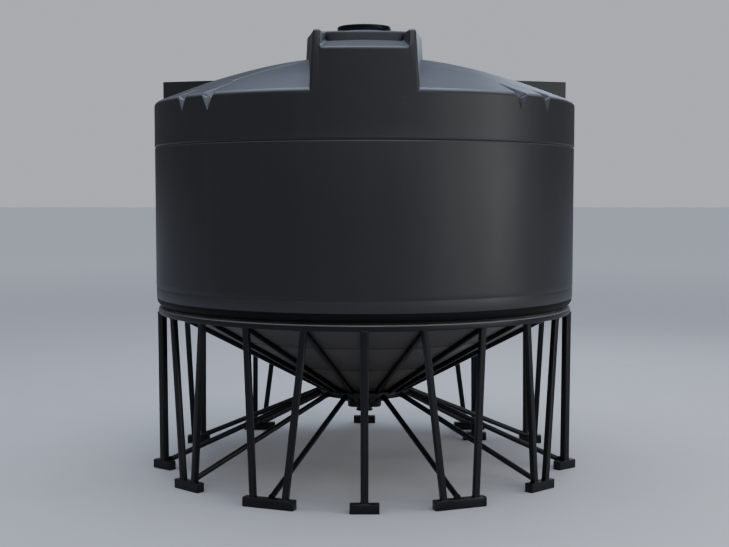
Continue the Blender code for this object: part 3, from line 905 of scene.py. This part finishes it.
@dataclass
class Manway:
    """The block at the front, the neck behind it and the screwed lid."""

    shell: TankShell
    foot_z: float = 2.035
    base_half: float = 0.2746
    top_half: float = 0.2520
    spread: float = 0.0600
    cheek: float = 0.036
    lean: float = 0.024
    front_top: float = 2.4035
    cheek_back: float = 2.512
    ledge_front: float = 2.313
    ledge_back: float = 2.461
    neck_base: float = 0.343
    neck_rim: float = 0.336
    bore: float = 0.138
    lid: float = 0.159
    deck_edge: float = 2.509
    deck_top: float = 2.5375
    side_end: float = -0.05
    middle_end: float = -0.24
    edge: float = 0.0145

    def layer(self, height: Array | float, radius: float) -> Array:
        """One level of the block: stations from the front face to the neck, columns across.

        The two outer columns lie at the half width. At the front it shrinks evenly with the height,
        and towards the neck it goes over evenly to base half + spread. The nine inner columns run
        straight back. The front follows the circle of the radius.

        Args:
            height: The level's height at each station and column.
            radius: The front's distance from the axis.

        Returns:
            A grid of points.
        """
        inner = self.top_half - self.cheek
        column = np.concatenate([[-1.0], np.linspace(-inner, inner, 9), [1.0]])
        outer = np.abs(column) == 1.0
        narrow = (height - self.foot_z) / (self.front_top - self.foot_z)
        drawn = (self.top_half - self.base_half) * narrow * (1 - STATIONS)
        half = self.base_half + drawn + self.spread * STATIONS
        x = np.where(outer, column * half, column)
        front = -np.sqrt(radius ** 2 - x ** 2)
        y = front + (np.where(outer, self.side_end, self.middle_end) - front) * STATIONS
        return np.stack(np.broadcast_arrays(x, y, height), -1)

    def block(self) -> bpy.types.Object:
        """The block: a base up to the ledge, and a cheek on each side of the ledge.

        The ledge is a cone: its height depends on the radius alone. The cheeks' tops rise in
        straight lines and their fronts lean back. The underside dips under the dome's face and the
        foot of the front lies inside the wall.
        """
        radius = self.shell.upper
        plan = self.layer(2.2, radius)
        reach = np.hypot(plan[..., 0], plan[..., 1])
        under = np.minimum(self.shell.roof_z(reach) - DIP, 2.30)
        under[0] = self.foot_z
        rise = (self.ledge_back - self.ledge_front) / (radius - self.neck_base)
        ledge = self.ledge_front + rise * (radius - np.maximum(reach, 0.30))
        rim = np.broadcast_to(self.front_top + (self.cheek_back - self.front_top) * STATIONS, reach.shape)
        face = radius + 0.0002
        levels = ((under, radius - 0.004), (under + 0.0160, face), (under + 0.0185, face), (ledge, face))
        base = np.stack([self.layer(height, front) for height, front in levels])
        top = self.layer(rim, radius - self.lean)
        body = Patchwork().grid(base[0]).grid(base[-1][:, 1:-1]).sides(base)
        for pair in (slice(0, 2), slice(-2, None)):
            cheek = np.stack([base[-1][:, pair], top[:, pair]])
            body.grid(cheek[-1]).sides(cheek)
        block = body.build("manway_block_skin", Paint.BLOCK.value)
        round_edges(block, self.edge, 5, 2.1)
        return block

    def neck(self) -> bpy.types.Object:
        """The neck: a drafted ring with a crowned deck, a lid seat and the bore through it.

        In plan its outer face is a circle at the sides and the rear, and its power rises from 2 to
        4, a rounded square, at the front. The change fades out between the outer face and the seat.
        """
        profile = np.array([(0.352, 2.352), (self.neck_base, 2.375), (self.neck_rim, self.deck_edge),
                            (self.lid + 0.020, self.deck_top - 0.009), (self.lid + 0.011, self.deck_top),
                            (self.lid + 0.004, self.deck_top - 0.003), (self.bore, self.deck_top - 0.003),
                            (self.bore, 2.375), (0.149, 2.370)])
        reach = np.array([0, 0.01, 0.014, 0.004, 0.002, 0.002, 0.006, 0.004, 0])
        rounded = soften(profile, reach, 4, True)
        angles = full_turn(160)
        off_front = np.minimum(angles, 360.0 - angles)
        fade = np.clip((65.0 - off_front) / 25.0, 0.0, 1.0)
        power = 2.0 + 2.0 * fade * fade * (3.0 - 2.0 * fade)
        share = np.clip((rounded[:, :1] - 0.19) / 0.14, 0.0, 1.0)
        points = squared(lathe(rounded, angles), angles, power, share)
        return Patchwork().closed(points).build("manway_neck", Paint.NECK.value, 50.0)

    def cover(self) -> bpy.types.Object:
        """The lid: a flat disc with a rolled rim, a line round it, radial ribs and a vent knob.

        The top's height is its profile plus 3 mm times a cosine pulse at each of 12 ribs.
        """
        z = self.deck_top + 0.001
        profile = np.array([(0.0, z), (self.lid - 0.006, z), (self.lid, z + 0.005), (self.lid, z + 0.011),
                            (self.lid - 0.0025, z + 0.013), (self.lid, z + 0.015), (self.lid, z + 0.031),
                            (self.lid - 0.004, z + 0.035), (self.lid - 0.016, z + 0.036),
                            (self.lid - 0.022, z + 0.031), (0.110, z + 0.031), (0.060, z + 0.032),
                            (0.040, z + 0.033), (0.034, z + 0.037), (0.016, z + 0.038), (0.013, z + 0.041),
                            (0.013, z + 0.052), (0.009, z + 0.057), (0.0, z + 0.058)])
        rounded = soften(profile, 0.003, 3, False)
        angles = full_turn(144)
        points = lathe(rounded, angles)
        radius = rounded[:, :1]
        on_face = (rounded[:, 1:] > z + 0.030) & (radius < self.lid - 0.020) & (radius > 0.045)
        pulse = np.clip(np.cos(np.radians(12 * angles))[None, :] * 6.0 - 5.0, 0.0, 1.0)
        points[..., 2] += np.where(on_face, 0.003 * pulse, 0.0)
        lid = Patchwork().grid(points, wrap_columns=True)
        return lid.build("manway_cover", Paint.LID.value, 45.0)

    def dress(self) -> list[bpy.types.Object]:
        """Builds the block, the neck and the lid and sets them in the frame."""
        return [settle(self.block(), "tank", "manway_block", "manway_block"),
                settle(self.neck(), "tank", "manway_block"),
                settle(self.cover(), "lid", "manway_lid", "manway_lid")]


@dataclass
class Outlet:
    """The flange, the valve and its stub under the cone."""

    shell: TankShell
    bolts: int = 12
    bolt_circle: float = 0.120
    bolt_radius: float = 0.010
    bolt_head: float = 0.008
    plate: float = 0.040
    plate_radius: float = 0.1385
    plate_bore: float = 0.046
    body_half: float = 0.100
    body_height: float = 0.034
    stub_radius: float = 0.045
    stub_height: float = 0.033
    bore: float = 0.036

    def flange(self) -> bpy.types.Object:
        """A bevelled plate with hexagon bolt heads round its underside."""
        top = self.shell.cone_z(self.shell.cone_end) - GAP
        low = top - self.plate
        profile = np.array([(self.plate_bore, top), (self.plate_radius, top),
                            (self.plate_radius, low + 0.003), (self.plate_radius - 0.003, low),
                            (self.plate_bore, low)])
        work = Patchwork().closed(lathe(soften(profile, 0.003, 2, True), full_turn(72)))
        hexagon = circle(self.bolt_radius, 6)
        for angle in np.arange(self.bolts) * 360.0 / self.bolts + 15.0:
            centre = polar(self.bolt_circle, angle, low + 0.001)
            work.rings(bar(centre, centre - (0, 0, self.bolt_head), np.array([1.0, 0, 0]), hexagon))
        return work.build("outlet_plate", Paint.FITTING.value)

    def valve(self) -> bpy.types.Object:
        """A square-shouldered valve body of power 5 in plan, then a round stub with a rolled lip."""
        high = self.shell.cone_z(self.shell.cone_end) - self.plate - 2 * GAP
        base = high - self.body_height
        end = base - self.stub_height
        lip = self.stub_radius + 0.005
        profile = np.array([(self.bore, end), (lip, end), (lip, end + 0.008),
                            (self.stub_radius, end + 0.010), (self.stub_radius, base),
                            (self.body_half - 0.003, base),
                            (self.body_half, base + 0.004), (self.body_half, high - 0.004),
                            (self.body_half - 0.002, high), (self.bore, high)])
        rounded = soften(profile, 0.003, 3, True)
        angles = full_turn(192)
        share = np.clip((rounded[:, :1] - 0.055) / 0.03, 0.0, 1.0)
        work = Patchwork().closed(squared(lathe(rounded, angles), angles, 5.0, share))
        return work.build("outlet_collar", Paint.FITTING.value)

    def dress(self) -> list[bpy.types.Object]:
        """Builds the flange and the valve and sets them in the frame."""
        return [settle(self.flange(), "tank", "outlet_flange", "outlet_flange"),
                settle(self.valve(), "tank", "outlet_valve", "outlet_valve")]


# Stand

@dataclass(frozen=True)
class LegFrame:
    """One foot with its one or two legs, and the brace from it to the hub.

    Attributes:
        label: Its part of the nodes' names.
        foot_angle: Where the foot stands.
        turn: The angle that the foot's face looks to.
        tops: The angles at which its legs meet the ring.
        spacing: How far apart its legs stand on the foot.
        length: The foot's length.
        tube: The legs' width.
        ribs: The angles of its ribs under the cone, where they differ from the tops.
    """

    label: str
    foot_angle: float
    turn: float
    tops: tuple[float, ...]
    spacing: float
    length: float
    tube: float
    ribs: tuple[float, ...] = ()

    def sides(self) -> tuple[tuple[int, str], ...]:
        """The sides on which the frame stands, with the ending of each node's name."""
        return ((1, ""),) if self.foot_angle in (0.0, 180.0) else ((-1, "_left"), (1, "_right"))


FRAMES = (
    LegFrame("front", 0.0, 0.0, (0.0,), 0.0, 0.150, 0.040),
    LegFrame("inner_front", 24.2, 21.0, (14.7, 30.5), 0.182, 0.285, 0.032, (15.9, 33.6)),
    LegFrame("outer_front", 53.2, 42.0, (46.1, 61.8), 0.093, 0.190, 0.032),
    LegFrame("side", 80.0, 38.0, (80.0,), 0.0, 0.135, 0.040),
    LegFrame("outer_rear", 115.8, 180.0, (109.2, 119.1), 0.060, 0.140, 0.032),
    LegFrame("inner_rear", 143.0, 180.0, (141.8, 151.1), 0.060, 0.207, 0.032),
    LegFrame("back", 180.0, 180.0, (180.0,), 0.0, 0.150, 0.040),
)


@dataclass
class Stand:
    """The ring, the leg frames, the braces, the inner prop and the cradle under the cone."""

    shell: TankShell
    ring_inner: float = 1.163
    ring_outer: float = 1.208
    ring_height: float = 0.030
    leg_radius: float = 1.188
    foot_radius: float = 1.185
    foot_height: float = 0.050
    foot_width: float = 0.050
    hub_outer: float = 0.270
    hub_inner: float = 0.235
    hub_bottom: float = 0.4145
    rib: float = 0.025
    brace: float = 0.0305
    brace_foot_z: float = 0.038
    brace_hub_z: float = 0.4280
    rib_start: float = 0.146
    leg_bead: float = 0.0035
    brace_bead: float = 0.003
    prop_angle: float = 130.3
    prop_foot: float = 0.940
    prop_top: float = 0.966
    prop_length: float = 0.150
    prop_tube: float = 0.032

    @property
    def ring_top(self) -> float:
        """The ring's upper face."""
        return self.shell.cone_z(self.ring_inner) - 2 * GAP

    def foot(self, work: Patchwork, centre: Array, turn: float, length: float) -> None:
        """Adds a foot: a rounded box on the floor, with a slight recess line at each end cap.

        Args:
            work: What the foot is added to.
            centre: The foot's middle on the floor.
            turn: The angle that the foot's face looks to.
            length: The foot's length.
        """
        along = polar(1.0, turn + 90.0, 0.0)
        section = rounded_box(self.foot_width, self.foot_height, 0.005)
        share = np.array([-1.0, -0.985, -0.90, -0.895, -0.89, 0.89, 0.895, 0.90, 0.985, 1.0])
        size = np.array([0.90, 1.0, 1.0, 0.985, 1.0, 1.0, 0.985, 1.0, 1.0, 0.90])
        normal = polar(1.0, turn, 0.0)
        middle = centre + (0, 0, self.foot_height / 2)
        ring = section[:, :1] * normal + section[:, 1:] * np.array([0, 0, 1.0])
        rings = middle + ring[None] * size[:, None, None] + (share * length / 2)[:, None, None] * along
        work.rings(rings)

    def leg(self, work: Patchwork, bottom: Array, top: Array, turn: float, tube: float,
            seed: int) -> None:
        """Adds a leg of square tube with rounded corners, and the beads that weld its two ends.

        Args:
            work: What the leg is added to.
            bottom: The middle of its foot end, on the foot's upper face.
            top: The middle of its other end.
            turn: The angle that the leg's face looks to.
            tube: The tube's width.
            seed: For the beads' unevenness.
        """
        side = polar(1.0, turn + 90.0, 0.0)
        section = rounded_box(tube, tube, tube * 0.16)
        along = unit(top - bottom)
        up = np.array([0, 0, 1.0])
        rings = bar(bottom, top, side, section)
        rings = np.stack([cut(rings[0], along, bottom, up), cut(rings[1], along, top, up)])
        work.rings(rings)
        work.closed(bead(rings[0], up, self.leg_bead, 60, seed))
        work.closed(bead(rings[1], -up, self.leg_bead, 60, seed + 1))

    def leg_frame(self, plan: LegFrame, side: int, name: str, seed: int) -> bpy.types.Object:
        """A foot with its legs, welded at both ends.

        Args:
            plan: The frame's numbers.
            side: -1 for the left, 1 for the right.
            name: The piece's name.
            seed: For the beads' unevenness.

        Returns:
            The frame.
        """
        work = Patchwork()
        turn = side * plan.turn
        centre = polar(self.foot_radius, side * plan.foot_angle, 0.0)
        along = polar(1.0, turn + 90.0, 0.0)
        self.foot(work, centre, turn, plan.length)
        meet_z = self.ring_top - self.ring_height + 0.001
        tops = [polar(self.leg_radius, side * angle, meet_z) for angle in plan.tops]
        for number, top in enumerate(tops):
            reach = 0.0
            if len(tops) == 2:
                reach = math.copysign(plan.spacing / 2, (top - tops[1 - number]) @ along)
            bottom = centre + along * reach + (0, 0, self.foot_height - 0.0005)
            self.leg(work, bottom, top, turn, plan.tube, seed + 2 * number)
        return work.build(name, Paint.STEEL.value)

    def brace_tube(self, plan: LegFrame, side: int, name: str, seed: int) -> bpy.types.Object:
        """A round brace from a foot's inner face to the hub ring, welded at both ends.

        Args:
            plan: The frame's numbers.
            side: -1 for the left, 1 for the right.
            name: The piece's name.
            seed: For the beads' unevenness.

        Returns:
            The brace.
        """
        angle = side * plan.foot_angle
        inward = -polar(1.0, angle, 0.0)
        hub = polar(self.hub_outer - 0.001, angle, self.brace_hub_z)
        foot = polar(self.foot_radius, angle, self.brace_foot_z)
        face = polar(1.0, side * plan.turn, 0.0)
        face = -face if face @ inward < 0 else face
        along = unit(foot - hub)
        rings = bar(hub, foot, np.cross(along, np.array([0, 0, 1.0])), circle(self.brace / 2, 24))
        start = cut(rings[0], along, hub, inward)
        end = cut(rings[1], along, foot + face * (self.foot_width / 2 - 0.001), face)
        share = np.linspace(0.0, 1.0, 9)[:, None, None]
        work = Patchwork().rings(start + (end - start) * share)
        work.closed(bead(start, -inward, self.brace_bead, 48, seed))
        work.closed(bead(end, face, self.brace_bead, 48, seed + 1))
        return work.build(name, Paint.STEEL.value)

    def ring(self) -> bpy.types.Object:
        """The rolled ring: a rounded box section turned about the axis."""
        width = self.ring_outer - self.ring_inner
        section = rounded_box(width, self.ring_height, 0.007, 4)
        section += (self.ring_inner + width / 2, self.ring_top - self.ring_height / 2)
        work = Patchwork().closed(lathe(section, full_turn(240)))
        return work.build("ring_rolled", Paint.RING.value, 60.0)

    def rib_bar(self, work: Patchwork, angle: float) -> None:
        """Adds a rib under the cone, from the outlet's edge up to the ring's inner face."""
        drop = self.rib / 2 + 0.002
        start = polar(self.rib_start, angle, self.shell.cone_z(self.rib_start) - drop)
        end = polar(self.ring_inner + 0.001, angle, self.shell.cone_z(self.ring_inner) - drop)
        section = rounded_box(self.rib, self.rib, 0.004)
        rings = bar(start, end, polar(1.0, angle + 90.0, 0.0), section)
        out = polar(1.0, angle, 0.0)
        along = unit(end - start)
        work.rings(np.stack([cut(rings[0], along, start, out), cut(rings[1], along, end, out)]))

    def cradle(self) -> bpy.types.Object:
        """The hub ring and a rib to each leg top."""
        work = Patchwork()
        for plan in FRAMES:
            for side, _ in plan.sides():
                for angle in plan.ribs or plan.tops:
                    self.rib_bar(work, side * angle)
        self.rib_bar(work, self.prop_angle)
        top = self.shell.cone_z(self.hub_inner) - 0.002
        corners = np.array([(self.hub_inner, self.hub_bottom), (self.hub_outer, self.hub_bottom),
                            (self.hub_outer, top), (self.hub_inner, top)])
        section = soften(corners, 0.003, 3, True)
        work.closed(lathe(section, full_turn(96)))
        return work.build("cradle_welded", Paint.STEEL.value)

    def prop(self) -> bpy.types.Object:
        """The inner prop at the rear on the right, on a foot of its own."""
        work = Patchwork()
        centre = polar(self.prop_foot, self.prop_angle, 0.0)
        self.foot(work, centre, 180.0, self.prop_length)
        low = self.shell.cone_z(self.prop_top) - 0.027
        bottom = centre + (0, 0, self.foot_height - 0.0005)
        top = polar(self.prop_top, self.prop_angle, low + 0.004)
        self.leg(work, bottom, top, self.prop_angle, self.prop_tube, 900)
        return work.build("prop_welded", Paint.STEEL.value)

    def dress(self) -> list[bpy.types.Object]:
        """Builds the stand and sets every piece of it in the frame."""
        cradles = [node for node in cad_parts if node.startswith("cradle_")]
        pieces = [settle(self.ring(), "tank", "stand_ring", "stand_ring"),
                  settle(self.cradle(), "tank", "cradle_front", *cradles),
                  settle(self.prop(), "tank", "leg_prop", "leg_prop")]
        for number, plan in enumerate(FRAMES):
            for side, ending in plan.sides():
                seed = 20 * number + 10 * (side > 0)
                node = f"leg_frame_{plan.label}{ending}"
                legs = self.leg_frame(plan, side, f"{node}_welded", seed)
                pieces.append(settle(legs, "tank", node, node))
                node = f"brace_{plan.label}{ending}"
                brace = self.brace_tube(plan, side, f"{node}_tube", seed + 5)
                pieces.append(settle(brace, "tank", node, node))
        return pieces


# Studio

@dataclass(frozen=True)
class Softbox:
    """A rectangular area light."""

    name: str
    place: tuple[float, float, float]
    size: tuple[float, float]
    power: float
    colour: tuple[float, float, float]
    aim: tuple[float, float, float] = (0.0, 0.0, 1.4)

    def hang(self) -> None:
        """Adds the light in its place, its face turned to its aim."""
        light = bpy.data.lights.new(self.name, "AREA")
        light.shape = "RECTANGLE"
        light.size, light.size_y = self.size
        light.energy = self.power
        light.color = self.colour
        place = Vector(self.place)
        turn = (Vector(self.aim) - place).to_track_quat("-Z", "Y").to_matrix().to_4x4()
        new_object(self.name, light).matrix_world = Matrix.Translation(place) @ turn


SOFTBOXES = (
    Softbox("side_box", (7.3, -2.9, 2.4), (1.5, 4.0), 100.0, (1.0, 0.98, 0.97)),
    Softbox("side_fill", (5.6, -5.8, 2.4), (3.0, 4.0), 60.0, (1.0, 0.98, 0.97)),
    Softbox("front_top", (1.2, -7.0, 6.8), (5.0, 3.0), 130.0, (0.88, 0.94, 1.0)),
    Softbox("overhead", (0.0, 0.5, 7.0), (6.0, 5.0), 400.0, (0.70, 0.81, 1.0)),
    Softbox("rear_sky", (3.0, 5.8, 4.4), (2.4, 2.4), 70.0, (0.66, 0.80, 1.0), (0.6, -0.6, 2.2)),
)


@dataclass
class Studio:
    """The floor, the lights and the camera."""

    camera_y: float = -7.0
    camera_z: float = 1.590
    pitch: float = 3.790
    focal_px: float = 1178.9
    width_px: float = 729.0
    backdrop: tuple[float, float, float] = (0.50, 0.515, 0.55)

    def camera(self) -> None:
        """Sets the camera at eye height in front of the tank, pitched down a little."""
        lens = bpy.data.cameras.new("camera")
        lens.sensor_width = 36.0
        lens.lens = 36.0 * self.focal_px / self.width_px
        lens.clip_end = 200.0
        eye = new_object("camera", lens)
        eye.location = (0.0, self.camera_y, self.camera_z)
        eye.rotation_euler = (math.radians(90.0 - self.pitch), 0.0, 0.0)
        bpy.context.scene.camera = eye

    def floor(self) -> None:
        """A plain pale floor, as a flat grid."""
        span = np.linspace(-150.0, 150.0, 9)
        x, y = np.meshgrid(span, span)
        mesh = bpy.data.meshes.new("floor")
        work = Patchwork().grid(np.stack([x, y, np.zeros_like(x)], -1))
        mesh.from_pydata(np.vstack(work.points), [], work.faces)
        mesh.materials.append(Paint.FLOOR.value.material())
        floor = new_object("floor", mesh)

    def sky(self) -> None:
        """A soft surround: bluish overhead, grey towards the camera's side and dim behind the tank."""
        world = bpy.data.worlds.new("surround")
        world.use_nodes = True
        bpy.context.scene.world = world
        graph = Graph(world.node_tree)
        graph.tree.nodes.clear()
        across, depth, height = graph.split(graph.node("ShaderNodeTexCoord", output="Generated"))
        level = graph.blend(height.step(-0.05, 0.35), (0.24, 0.232, 0.232), (0.68, 0.685, 0.725))
        colour = graph.blend(height.step(0.35, 1.0), level, (0.62, 0.78, 1.15))
        strength = (depth.step(0.6, -0.3) * 0.66 + 0.34) * (across.step(-1.0, 0.3) * 0.30 + 0.70)
        light = graph.node("ShaderNodeBackground", None, {"Color": colour, "Strength": strength})
        shown = graph.node("ShaderNodeBackground", None, {"Color": self.backdrop})
        seen = graph.node("ShaderNodeLightPath", output="Is Camera Ray")
        mixed = graph.node("ShaderNodeMixShader", None, {0: seen, 1: light, 2: shown})
        graph.node("ShaderNodeOutputWorld", None, {"Surface": mixed}, output=None)

    def dress(self) -> None:
        """Sets up the camera, the floor, the surround and the softboxes."""
        self.camera()
        self.floor()
        self.sky()
        for softbox in SOFTBOXES:
            softbox.hang()


def main() -> None:
    """Builds every sub-assembly in order and reports its pieces."""
    logging.basicConfig(level=logging.INFO, format="%(message)s")
    Studio().dress()
    shell = TankShell()
    for part in (shell, Manway(shell), Outlet(shell), Stand(shell)):
        for piece in part.dress():
            LOG.info("%s: %s with %d faces", type(part).__name__, piece.name, len(piece.data.polygons))


if __name__ == "__main__":
    main()
